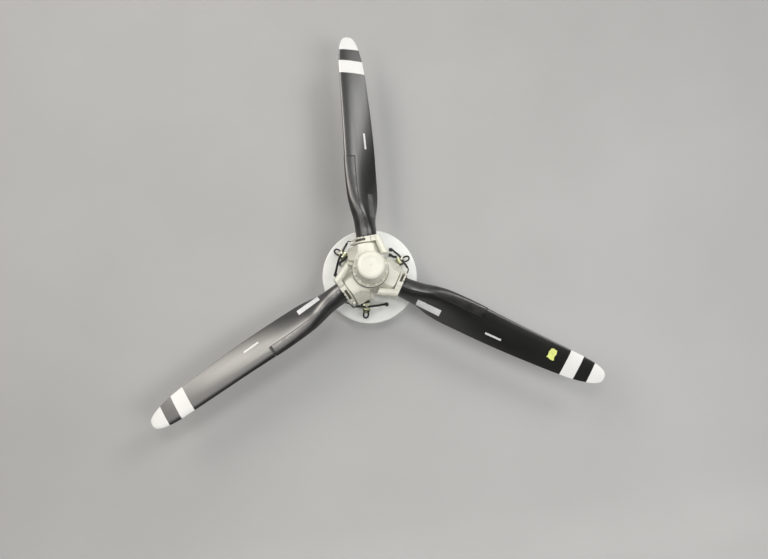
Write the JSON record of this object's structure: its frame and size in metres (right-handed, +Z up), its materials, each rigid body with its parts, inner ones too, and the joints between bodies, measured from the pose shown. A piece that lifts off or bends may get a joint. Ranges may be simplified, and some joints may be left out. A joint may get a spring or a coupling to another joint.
{
  "type": "three-blade aircraft propeller",
  "caption": "Variable-pitch aircraft propeller with a cream forged hub, black twisted metal blades, white tip bands, leading-edge de-icing boots and a white spinner bulkhead.",
  "frame": {"origin": "centre of the rear face of the hub's flange, where the propeller bolts to the engine", "axes": "+Y out of the flange's rear face towards the engine, so the propeller faces -Y; +Z up along the first blade; +X to the right as seen from the front"},
  "size_m": [1.6819, 0.3003, 1.463],
  "materials": {
    "cream_enamel": "semi-gloss enamel",
    "white_enamel": "semi-gloss enamel",
    "blade_paint": "satin black paint with white tip bands",
    "boot_rubber": "smooth",
    "lead_rubber": "smooth sleeving",
    "chromate_plating": "yellow-green chromate",
    "plated_steel": "cadmium plate",
    "track_copper": "turned",
    "black_resin": "moulded"
  },
  "bodies": {
    "hub": {"bonding_lead_1": "lead_rubber", "bonding_lead_2": "lead_rubber", "bonding_lead_3": "lead_rubber", "cylinder_plug": "cream_enamel", "cylinder_seal": "black_resin", "deice_lead_1": "lead_rubber", "deice_lead_2": "lead_rubber", "deice_lead_3": "lead_rubber", "hub_body": "cream_enamel", "lead_bracket_1": "chromate_plating", "lead_bracket_2": "chromate_plating", "lead_bracket_3": "chromate_plating", "lead_clamp_1": "plated_steel", "lead_clamp_2": "plated_steel", "lead_clamp_3": "plated_steel", "lead_grommet_1": "lead_rubber", "lead_grommet_2": "lead_rubber", "lead_grommet_3": "lead_rubber", "mounting_stud_1": "plated_steel", "mounting_stud_2": "plated_steel", "mounting_stud_3": "plated_steel", "mounting_stud_4": "plated_steel", "mounting_stud_5": "plated_steel", "mounting_stud_6": "plated_steel", "pitch_cylinder": "cream_enamel", "slip_ring_body": "black_resin", "slip_ring_track_1": "track_copper", "slip_ring_track_2": "track_copper", "spinner_bulkhead": "white_enamel", "terminal_block_1": "black_resin", "terminal_block_2": "black_resin", "terminal_block_3": "black_resin", "terminal_loop_1": "lead_rubber", "terminal_loop_2": "lead_rubber", "terminal_loop_3": "lead_rubber"},
    "blade_1": {"blade_1": "blade_paint", "deice_boot_1": "boot_rubber", "counterweight_clamp_1": "cream_enamel"},
    "blade_2": {"blade_2": "blade_paint", "deice_boot_2": "boot_rubber", "counterweight_clamp_2": "cream_enamel"},
    "blade_3": {"blade_3": "blade_paint", "deice_boot_3": "boot_rubber", "counterweight_clamp_3": "cream_enamel"}
  },
  "joints": [
    {"name": "blade_1_pitch", "type": "hinge", "parent": "hub", "child": "blade_1", "pos_m": [0, -0.1, 0], "axis": [0, 0, 1], "range_deg": [0, 16.5]},
    {"name": "blade_2_pitch", "type": "hinge", "parent": "hub", "child": "blade_2", "pos_m": [0, -0.1, 0], "axis": [0.866, 0, -0.5], "range_deg": [0, 16.5]},
    {"name": "blade_3_pitch", "type": "hinge", "parent": "hub", "child": "blade_3", "pos_m": [0, -0.1, 0], "axis": [-0.866, 0, -0.5], "range_deg": [0, 16.5]}
  ],
  "couplings": [
    {"joint": "blade_2_pitch", "follows": "blade_1_pitch", "ratio": 1},
    {"joint": "blade_3_pitch", "follows": "blade_1_pitch", "ratio": 1}
  ]
}
